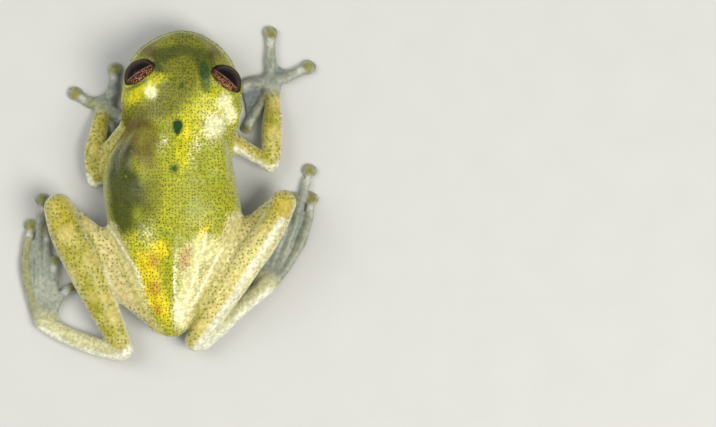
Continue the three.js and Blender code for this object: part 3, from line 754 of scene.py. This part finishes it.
# %% Hands, feet, discs and webs
TINGED = {3: 0.8, 8: 1.0, 7: 0.35, 12: 0.35, 17: 0.4}
PAD_HEIGHT = 0.75
hand = step(np.minimum(arm_leg_gap, trunk_gap) - hand_gap, -0.35, 0.75)
tinge = strongest(strength * soft_line(digit_paths[number], 0.42) for number, strength in TINGED.items())
between_digits = step(digit_gap, 0.03, 0.2) * step(palm_gap, 0.03, 0.2) * (arm_leg_gap > 0.15)
discs, pale_necks = [], []
for (x, y, radius), path in zip(disc_spots, digit_paths):
    back = along(path, 0.8) - np.array([x, y])
    neck = np.array([x, y]) + back / np.linalg.norm(back) * (radius + 0.12)
    discs.append(1 - step(np.hypot(points[:, 0] - x, points[:, 1] - y), radius * 0.45, radius * 1.02))
    pale_necks.append(soft_patch(*neck, 0.25, 0.25))
store("hand", hand)
store("tinge", tinge * hand)
store("web", (1 - step(web_gap, 0.02, 0.12)) * between_digits)
store("disc", strongest(discs) * (points[:, 2] < PAD_HEIGHT))
store("disc_pale", strongest(pale_necks) * (points[:, 2] < PAD_HEIGHT) * hand)
print("disc vertices:", int((strongest(discs) > 0.5).sum()), "web vertices:", int((web_gap < 0.05).sum()))

# %% [markdown]
# Below, the skin is clear as glass. Heart, gut, gall bladder and a large vein show through it, with a net
# of fine pale vessels. As solids they would be hidden parts that nobody could see from outside, so they are
# painted on the belly skin.

# %% Masks for the underside
BELLY = {
    "heart": [(-0.8, -2.9, 0.85, 1.25), (-0.3, -3.5, 0.6, 0.7), (-1.3, -3.5, 0.6, 0.7)],
    "gut": [(-0.6, -0.3, 1.15, 1.35), (0.4, 3.2, 1.5, 2.0), (-0.2, 4.9, 0.9, 1.2), (0.1, 1.4, 0.9, 1.0)],
    "gall": [(0.95, 1.35, 0.6, 0.42)],
    "throat": [(-1.0, -8.4, 2.3, 2.4)],
}
VEINS = [[(-0.4, 0.6), (-0.5, 2.2), (-0.75, 3.8), (-0.95, 5.4), (-0.95, 6.9)]]
VESSELS = [
    [(0.6, -2.9), (1.6, -2.3), (2.4, -2.5), (3.3, -1.6)], [(1.4, -0.2), (2.4, 0.3), (3.2, 0.1), (3.9, 0.9)],
    [(1.6, -2.3), (2.1, -1.2), (3.0, -0.6)], [(2.4, 0.3), (2.7, 1.3), (3.3, 2.0)],
    [(-2.0, -3.0), (-2.9, -2.3), (-3.8, -2.5)], [(-1.8, -0.3), (-2.8, -0.1), (-3.6, -0.8), (-4.3, -0.6)],
    [(-2.8, -0.1), (-3.2, 0.9), (-4.1, 1.4)], [(-1.6, 2.4), (-2.5, 2.7), (-3.3, 3.6)],
    [(2.0, 3.9), (2.7, 4.5), (2.9, 5.4)], [(-0.6, -4.6), (-0.5, -6.2), (0.1, -7.4)],
    [(-1.1, -4.6), (-1.4, -6.2), (-2.2, -7.4)],
]
VEIN_WIDTH, VESSEL_WIDTH = 0.16, 0.07
organ_masks = {name: strongest(soft_patch(*spot) for spot in spots) for name, spots in BELLY.items()}
organ_masks["vein"] = strongest(soft_line(path, VEIN_WIDTH) for path in VEINS)
organ_masks["vessel"] = strongest(soft_line(path, VESSEL_WIDTH) for path in VESSELS)
under = step(-normals[:, 2], 0.25, 0.8) * on_trunk
for name, mask in organ_masks.items():
    store(name, mask * under)
store("belly", step(-normals[:, 2], 0.0, 0.6) * on_trunk)
print("seen through the belly:", ", ".join(organ_masks))

# %% [markdown]
# ## Finishes
# Colours are written as they look on a screen, in sRGB hex, and one function turns them to the linear
# values that the renderer mixes. One small function adds a node with its settings and links, and another
# lays a colour over the one below through a mask. Sizes of patterns are written in millimetres and turned
# into a noise scale, which counts repeats per metre here. Numbers that are the same all over are set on the
# shader itself.

# %% Colour, scale and node helpers
def linear(hex_colour):
    values = [int(hex_colour[i : i + 2], 16) / 255 for i in (1, 3, 5)]
    return (*[v / 12.92 if v <= 0.04045 else ((v + 0.055) / 1.055) ** 2.4 for v in values], 1.0)


def per_mm(size):
    return 1 / (size * MM)


def new_material(name):
    material = bpy.data.materials.new(name)
    material.use_nodes = True
    material.node_tree.nodes.clear()
    return material, material.node_tree


def add(kind, *values, out=None, **named):
    made = tree.nodes.new("ShaderNode" + kind)
    for name, value in named.items():
        if name[0].islower():
            setattr(made, name, value)
    wanted = list(zip([socket for socket in made.inputs if socket.enabled], values))
    wanted += [
        (made.inputs[name.replace("_", " ")], value) for name, value in named.items() if name[0].isupper()
    ]
    for socket, value in wanted:
        if isinstance(value, bpy.types.NodeSocket):
            tree.links.new(value, socket)
        else:
            socket.default_value = value
    return made.outputs[out] if out else next((socket for socket in made.outputs if socket.enabled), None)


BLEND = {"data_type": "RGBA"}
SOFT = {"interpolation_type": "SMOOTHSTEP"}
TIMES = {"operation": "MULTIPLY"}


def lay(below, mask, strength, above):
    return add("Mix", add("Math", mask, strength, **TIMES), below, above, **BLEND)


print("lime in linear:", [round(v, 3) for v in linear("#b3b41f")])

# %% [markdown]
# ### Frog skin
# Glass frog skin is a thin wet film over fine grains. Under it lie a reflecting layer of yellow and lime
# pigment and blackish cells, each a dot a tenth of a millimetre wide. Light goes in and comes out again
# about a third of a millimetre away. A plain glossy paint would look like plastic, so the finish is one
# scattering shader. Its colour is laid down in layers, from the deep ones to the dots.

# %% Read the masks, and make the clouds that break their edges
skin_material, tree = new_material("moist frog skin")
where = add("TexCoord", out="Object")
masks = {}
for layer in skin_mesh.attributes:
    if layer.data_type == "FLOAT" and layer.domain == "POINT":
        masks[layer.name] = add("Attribute", attribute_name=layer.name, out="Fac")
CLOUD, FINE = 1.3, 0.28
cloud = add("TexNoise", where, Scale=per_mm(CLOUD), Detail=5.0, Roughness=0.62)
fine = add("TexNoise", where, Scale=per_mm(FINE), Detail=3.0, Roughness=0.65)
rag = add("Mix", 0.4, cloud, fine)


def ragged(mask, low, high, wobble=1.5):
    lift = add("Math", rag, wobble, -wobble / 2, operation="MULTIPLY_ADD")
    return add("MapRange", add("Math", mask, lift, operation="ADD"), low, high, **SOFT)


print("masks read by the skin:", len(masks))

# %% [markdown]
# The back is lime, with the patches laid over it in the order in which they cover each other in life: olive
# and brown pigment deep down, yellow and cream above, and on the cream the painted highlights where the wet
# skin glints. Each layer has its colour, the two levels of its mask between which it comes in, its strength
# and, where its edge is more or less torn than usual, how much the clouds shift it.

# %% Colours of the back
LAYERS = {
    "olive": ("#75741a", 0.1, 0.9, 0.85),
    "umber": ("#5f4a0c", 0.1, 1.4, 0.95, 1.8),
    "flank": ("#2c3806", 0.05, 1.15, 0.9, 1.8),
    "moss": ("#334210", 0.3, 0.95, 0.65, 2.6),
    "yellow": ("#cfca10", 0.1, 0.8, 0.9),
    "gold": ("#f4dc12", 0.2, 0.8, 0.88),
    "hip": ("#ddd092", 0.15, 0.75, 0.88),
    "milky": ("#ece5a0", 0.2, 0.95, 0.9),
    "rust": ("#b87c34", 0.1, 1.00, 0.6),
    "line": ("#fffbd0", 0.25, 1.1, 0.85, 1.6),
    # Painted highlight: the cream layer carries the glints of the wet skin as well as pale cream skin.
    "cream_and_glint": ("#fbf6bf", 0.12, 0.8, 0.95, 0.8),
    "teal": ("#1c4a18", 0.12, 0.85, 0.7, 1.0),
    "lid_edge": ("#20140c", 0.35, 0.8, 0.9),
}
back = add("Mix", add("MapRange", cloud, 0.4, 0.62, **SOFT), linear("#a5aa1e"), linear("#b5b420"), **BLEND)
for name, (shade, low, high, strength, *wobble) in LAYERS.items():
    back = lay(back, ragged(masks[name], low, high, *wobble), strength, linear(shade))
print("layers of the back:", len(LAYERS))

# %% White flecks of the back, with painted glints of the wet skin among them
FLECK = 0.17
flecks_and_glints = add("MapRange", add("TexNoise", where, Scale=per_mm(FLECK), Detail=2.0), 0.4, 0.68, **SOFT)
back = lay(back, add("Math", flecks_and_glints, masks["fleck_and_glint"], **TIMES), 0.75, linear("#fffbd6"))
print("a fleck is about", FLECK, "mm wide")

# %% [markdown]
# Limbs are yellow green with pale round blotches, warmer at the knees, paler on thighs and shins. The right
# leg is also painted paler, as painted light on the lit side. Hands, feet and webs have next to no pigment,
# so they are a pale grey green with yellow on the outer digits. Elbows, heels and the outer edges are white.

# %% Colours of the limbs
BLOTCH = 1.75
blotch = add("TexVoronoi", where, feature="SMOOTH_F1", Scale=per_mm(BLOTCH), Smoothness=0.35, Randomness=0.75)
blotch = add("Math", blotch, add("Math", rag, 0.9, -0.45, operation="MULTIPLY_ADD"), operation="ADD")
blotch = add("MapRange", blotch, 0.44, 0.26, **SOFT)
cloudy = add("MapRange", cloud, 0.42, 0.6, **SOFT)
limb_skin = add("Mix", cloudy, linear("#aca430"), linear("#c6ba62"), **BLEND)
LIMB_LAYERS = [
    (blotch, 0.6, "#d5c274"),
    # Painted light on the right leg, together with the pale shins.
    (masks["pale_and_lit_leg"], 0.7, "#efe294"),
    (masks["thigh"], 1.0, "#d8c88c"),
    (ragged(masks["warm"], 0.1, 1.0), 0.55, "#c2ac1a"),
    (masks["shin"], 0.7, "#c8c8a2"),
]
for mask, strength, shade in LIMB_LAYERS:
    limb_skin = lay(limb_skin, mask, strength, linear(shade))
print("layers of the limbs:", len(LIMB_LAYERS))

# %% Back, limbs, hands, webs and discs together
cloudy = add("MapRange", cloud, 0.38, 0.62, **SOFT)
hand_skin = add("Mix", cloudy, linear("#c6cab4"), linear("#a9b1a2"), **BLEND)
edge = add("Math", masks["limb"], 0.25, 0.5, operation="MULTIPLY_ADD")
edge = add("Math", masks["side"], edge, **TIMES)
STACK = [
    (masks["limb"], 1.0, limb_skin),
    (ragged(masks["ends"], 0.15, 0.95, 0.7), 0.8, linear("#ececd8")),
    (masks["hand"], 1.0, hand_skin),
    (ragged(masks["tinge"], 0.2, 0.9), 0.7, linear("#b8b56c")),
    (masks["web"], 0.8, linear("#8d9c9e")),
    (edge, 1.0, linear("#dedfc4")),
    (masks["disc"], 0.9, linear("#8e8a38")),
    (masks["disc_pale"], 1.0, linear("#f3f4ea")),
]
colour = back
for mask, strength, above in STACK:
    colour = lay(colour, mask, strength, above)
print("colour layers in all:", len(LAYERS) + len(LIMB_LAYERS) + len(STACK))

# %% [markdown]
# Each dot is one pigment cell. They keep an even distance of about a quarter of a millimetre on the back
# and a third on the limbs, where they leave the pale blotches free. Thousands of small discs would be
# heavy, so cell patterns make them. Flat patterns are laid on from above, from the side and from the front,
# each where the skin faces that way, so that the dots stay round.

# %% A pattern of dots
x_at, y_at, z_at = (add("SeparateXYZ", where, out=axis) for axis in "XYZ")
facing = add("TexCoord", out="Normal")
faces = [add("Math", add("SeparateXYZ", facing, out=axis), operation="ABSOLUTE") for axis in "XYZ"]
steep = add("Math", 0.55, faces[2], operation="GREATER_THAN")
sideways = add("Math", faces[0], faces[1], operation="GREATER_THAN")


def dots(spacing, radius):
    views = []
    for a, b in ((x_at, y_at), (x_at, z_at), (y_at, z_at)):
        flat = add("CombineXYZ", a, b)
        far = add("TexVoronoi", flat, voronoi_dimensions="2D", Scale=per_mm(spacing), Randomness=0.72)
        size = add("Math", cloud, 0.2, radius / spacing - 0.1, operation="MULTIPLY_ADD")
        views.append(add("MapRange", add("Math", far, size, operation="SUBTRACT"), 0.07, -0.05, **SOFT))
    low = add("Mix", sideways, views[1], views[2])
    return add("Mix", steep, views[0], low)


BACK_DOT, LIMB_DOT = (0.235, 0.047), (0.33, 0.068)
back_dots, limb_dots = dots(*BACK_DOT), dots(*LIMB_DOT)
print("dots to a square millimetre of back:", round(1 / BACK_DOT[0] ** 2))

# %% Dots of the back: few on milky and cream skin and under the painted glints, reddish on brown
pale_skin = add("Math", masks["milky"], masks["hip"], operation="MAXIMUM")
bare_and_glint_skin = add("Math", masks["cream_and_glint"], masks["bare"], operation="ADD")
undotted = add("Math", pale_skin, bare_and_glint_skin, operation="MAXIMUM")
undotted = add("Math", undotted, masks["rust"], operation="SUBTRACT")
back_ink = add("Math", back_dots, add("MapRange", masks["limb"], 0.6, 0.3, **SOFT), **TIMES)
back_ink = add("Math", back_ink, add("MapRange", undotted, 0.2, 0.9, 0.8, 0.15), **TIMES)
rusty = ragged(add("Math", masks["umber"], masks["rust"], operation="MAXIMUM"), 0.3, 0.7)
ink = add("Mix", rusty, linear("#1f3008"), linear("#56300c"), **BLEND)
colour = add("Mix", back_ink, colour, ink, **BLEND)
print("dots of the back laid on")

# %% Dots of the limbs, and the green drops
limb_ink = add("Math", limb_dots, add("MapRange", blotch, 0.5, 0.1, **SOFT), **TIMES)
LIMB_INK = [("limb", 0.4, 0.7, 0.0, 0.68), ("hand", 0.5, 0.1, 0.0, 1.0), ("shin", 0.5, 0.1, 0.35, 1.0),
            ("ends", 0.5, 0.1, 0.3, 1.0)]
for name, *levels in LIMB_INK:
    limb_ink = add("Math", limb_ink, add("MapRange", masks[name], *levels, **SOFT), **TIMES)
colour = add("Mix", limb_ink, colour, linear("#56641c"), **BLEND)
colour = add("Mix", ragged(masks["drop"], 0.3, 0.75, 1.0), colour, linear("#053f0a"), **BLEND)
print("parts that thin out the dots of the limbs:", ", ".join(name for name, *_ in LIMB_INK[1:]))

# %% Underside
ORGANS = {
    "throat": ("#c9cdb8", 0.8),
    "gut": ("#f1f0e4", 0.95),
    "heart": ("#8c1a24", 0.95),
    "gall": ("#cfc23a", 0.95),
    "vein": ("#8e2a26", 0.9),
    "vessel": ("#eceee2", 0.8),
}
belly = add("Mix", cloud, linear("#8e9a86"), linear("#a6ae96"), **BLEND)
for name, (shade, strength) in ORGANS.items():
    belly = lay(belly, ragged(masks[name], 0.3, 0.65, 0.8), strength, linear(shade))
colour = add("Mix", masks["belly"], colour, belly, **BLEND)
print("seen through the belly:", ", ".join(ORGANS))

# %% [markdown]
# The grains of the skin are about a twentieth of a millimetre in life, too fine to show here, so they are
# drawn three times as coarse. They only dent the surface; the colour under them changes by a few
# hundredths.

# %% Wet, scattering surface
mottle = add("Mix", add("MapRange", fine, 0.35, 0.65, **SOFT), linear("#d4d4d4"), linear("#ffffff"), **BLEND)
colour = add("Mix", 1.0, colour, mottle, blend_type="MULTIPLY", **BLEND)
GRAIN = 0.15
grain = add("TexVoronoi", where, feature="SMOOTH_F1", Scale=per_mm(GRAIN))
bump = add("Bump", Height=grain, Strength=0.4, Distance=0.02 * MM)
bump = add("Bump", Height=fine, Strength=0.5, Distance=0.05 * MM, Normal=bump)
rough = add("MapRange", fine, 0.3, 0.7, 0.38, 0.56, **SOFT)
clear = add("Math", masks["hand"], masks["web"], operation="MAXIMUM")
clear = add("Math", clear, add("Math", masks["disc"], -0.3, 0.4, operation="MULTIPLY_ADD"), **TIMES)
wet = add("BsdfPrincipled", Base_Color=colour, Roughness=rough, Normal=bump, IOR=1.38,
          Transmission_Weight=clear, Subsurface_Weight=0.4, Subsurface_Radius=(1.0, 0.8, 0.4),
          Subsurface_Scale=0.35 * MM, Coat_Weight=0.1, Coat_Roughness=0.2)
add("OutputMaterial", Surface=wet)
skin_mesh.materials.append(skin_material)
print("skin nodes:", len(tree.nodes))

# %% Set the skin in the place of the solids
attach(skin, "root")
flesh = [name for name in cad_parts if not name.startswith("eye_")]
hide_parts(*flesh)
print("skin stands for", len(flesh), "solids")

# %% [markdown]
# ## Eyes
# The eye is a wet ball. Its pupil is a level black slit in a dark maroon iris, which is netted with copper
# above and has a copper hem along the slit. Each vertex keeps its place in the eye's own frame: across, up
# and toward where it looks. The nodes draw the iris from these three, which an image would need a flat
# unwrapped eye for. The copper net is finer in life and drawn as coarse as it needs to show.

# %% Iris and pupil
eye_material, tree = new_material("wet eye with copper iris")
IN_EYE = ("across", "rise", "ahead")
across, rise, ahead = (add("Attribute", attribute_name=name, out="Fac") for name in IN_EYE)
where = add("TexCoord", out="Object")
SPECK, PUPIL, COPPER = 0.12, (0.72, 0.2), ("#c98a58", "#b27c50")
net = add("TexVoronoi", where, feature="DISTANCE_TO_EDGE", Scale=per_mm(SPECK))
net = add("MapRange", net, 0.1, 0.3, **SOFT)
cloud = add("TexNoise", where, Scale=per_mm(0.45), Detail=3.0)
iris = add("Mix", add("MapRange", cloud, 0.4, 0.6, **SOFT), linear("#100403"), linear("#2c100a"), **BLEND)
speck = add("Math", net, add("MapRange", rise, -0.1, 0.5, 0.1, 0.85, **SOFT), **TIMES)
iris = add("Mix", speck, iris, linear(COPPER[0]), **BLEND)
ring = add("MapRange", ahead, 0.46, 0.2, **SOFT)
iris = add("Mix", ring, iris, linear("#12080a"), **BLEND)
oval = [add("Math", add("Math", value, size, operation="DIVIDE"), 2.0, operation="POWER")
        for value, size in zip((across, rise), PUPIL)]
oval = add("Math", *oval, operation="ADD")
hem = add("MapRange", oval, 1.6, 1.15, 0.0, 0.45, **SOFT)
hem = add("Math", hem, add("MapRange", rise, 0.0, 0.1), **TIMES)
iris = add("Mix", hem, iris, linear(COPPER[1]), **BLEND)
slit = add("MapRange", oval, 1.12, 0.95, **SOFT)
slit = add("Math", slit, add("Math", ahead, 0.0, operation="GREATER_THAN"), **TIMES)
iris = add("Mix", slit, iris, linear("#040203"), **BLEND)
wet_ball = add("BsdfPrincipled", Base_Color=iris, Roughness=0.6, IOR=1.376, Specular_IOR_Level=0.2,
               Coat_Weight=0.2, Coat_Roughness=0.03, Coat_IOR=1.376)
add("OutputMaterial", Surface=wet_ball)
print("eye nodes:", len(tree.nodes))

# %% Eyeballs, with the clear window of each swelling forward a little
GAZE_RISE = 1.3
SWELL, WINDOW = 0.035, 0.45
RINGS, AROUND = 48, 72
for side, eye in EYES.items():
    look = Vector((*eye["look"][:2], GAZE_RISE)).normalized()
    level = Vector((0, 0, 1)).cross(look).normalized()
    rise_axis = look.cross(level)
    centre = Vector((np.array(eye["centre"]) + SHIFT).tolist())
    mesh = bpy.data.meshes.new(f"eye_ball_{side}")
    verts, uvw = [], []
    for i in range(1, RINGS):
        tilt = math.pi * i / RINGS
        for k in range(AROUND):
            turn = 2 * math.pi * k / AROUND
            u, v, w = math.sin(tilt) * math.cos(turn), math.sin(tilt) * math.sin(turn), math.cos(tilt)
            out = EYE_RADIUS * (1 + SWELL * max(0.0, (w - WINDOW) / (1 - WINDOW)) ** 0.8)
            verts.append((centre + (level * u + rise_axis * v + look * w) * out) * MM)
            uvw.append((u, v, w))
    verts += [(centre + look * (EYE_RADIUS * (1 + SWELL))) * MM, (centre - look * EYE_RADIUS) * MM]
    uvw += [(0, 0, 1), (0, 0, -1)]
    top, bottom = len(verts) - 2, len(verts) - 1
    faces = []
    for i in range(RINGS - 2):
        for k in range(AROUND):
            a, b = i * AROUND + k, i * AROUND + (k + 1) % AROUND
            faces.append((a, a + AROUND, b + AROUND, b))
    last = (RINGS - 2) * AROUND
    faces += [(top, k, (k + 1) % AROUND) for k in range(AROUND)]
    faces += [(bottom, last + (k + 1) % AROUND, last + k) for k in range(AROUND)]
    mesh.from_pydata([tuple(v) for v in verts], [], faces)
    mesh.update()
    mesh.shade_smooth()
    for column, name in enumerate(IN_EYE):
        mesh.attributes.new(name, "FLOAT", "POINT").data.foreach_set("value", [p[column] for p in uvw])
    mesh.materials.append(eye_material)
    eyeball = place(f"eye_ball_{side}", mesh)
    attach(eyeball, "root")
    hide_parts(f"eye_{side}")
    print("eye", side, "at", [round(c, 2) for c in centre], "mm")

# %% [markdown]
# ## Floor, light and camera
# A pale matt floor and soft light, as on a copy stand. A large lamp to the upper left shapes the back, a
# weak one on the right opens the shadows. The camera looks straight down through a long lens. The frog
# keeps its place at the left of the picture, and the rest of the floor stays empty.

# %% Floor
REACH = 2.0
corners = [(-REACH, -REACH, 0), (REACH, -REACH, 0), (REACH, REACH, 0), (-REACH, REACH, 0)]
floor_mesh = bpy.data.meshes.new("floor")
floor_mesh.from_pydata(corners, [], [(0, 1, 2, 3)])
floor = place("floor", floor_mesh)
floor_material, tree = new_material("matt pale card")
fibre = add("TexNoise", add("TexCoord", out="Object"), Scale=per_mm(3.0), Detail=5.0)
card = add("Mix", fibre, linear("#bebdb7"), linear("#c3c2bd"), **BLEND)
add("OutputMaterial", Surface=add("BsdfPrincipled", Base_Color=card, Roughness=0.9))
floor_mesh.materials.append(floor_material)
print("floor:", 2 * REACH, "m wide")

# %% Lamps
def lamp(name, spot, size, power, colour):
    data = bpy.data.lights.new(name, "AREA")
    data.size = size * MM
    data.energy = power
    data.color = colour
    made = place(name, data)
    made.location = Vector(spot) * MM
    made.rotation_euler = (Vector((0, 0, 3)) * MM - made.location).to_track_quat("-Z", "Y").to_euler()


lamp("key lamp", (-120, 70, 190), 130, 0.52, (1.0, 0.98, 0.95))
lamp("fill lamp", (150, -60, 160), 160, 0.3, (0.96, 0.98, 1.0))
world = bpy.data.worlds.new("studio")
world.use_nodes = True
sky = world.node_tree.nodes["Background"].inputs
sky["Color"].default_value = linear("#eef0f2")
sky["Strength"].default_value = 0.45
scene.world = world
scene.view_settings.view_transform = "Standard"
print("lamps:", len(bpy.data.lights))

# %% Camera
PICTURE_MIDDLE, PICTURE_WIDTH = (-13.79, 1.37), 52.07
LENS, SENSOR = 300.0, 36.0
FOCUS_LEVEL = 3.0
camera_data = bpy.data.cameras.new("camera")
camera_data.lens = LENS
camera_data.sensor_width = SENSOR
camera = place("camera", camera_data)
height = PICTURE_WIDTH * LENS / SENSOR + FOCUS_LEVEL
camera.location = Vector((PICTURE_MIDDLE[0] + SHIFT[0], PICTURE_MIDDLE[1] + SHIFT[1], height)) * MM
camera.rotation_euler = (0, 0, math.pi)
camera_data.clip_start, camera_data.clip_end = 0.01, 10
scene.camera = camera
print("camera height:", round(height, 1), "mm")
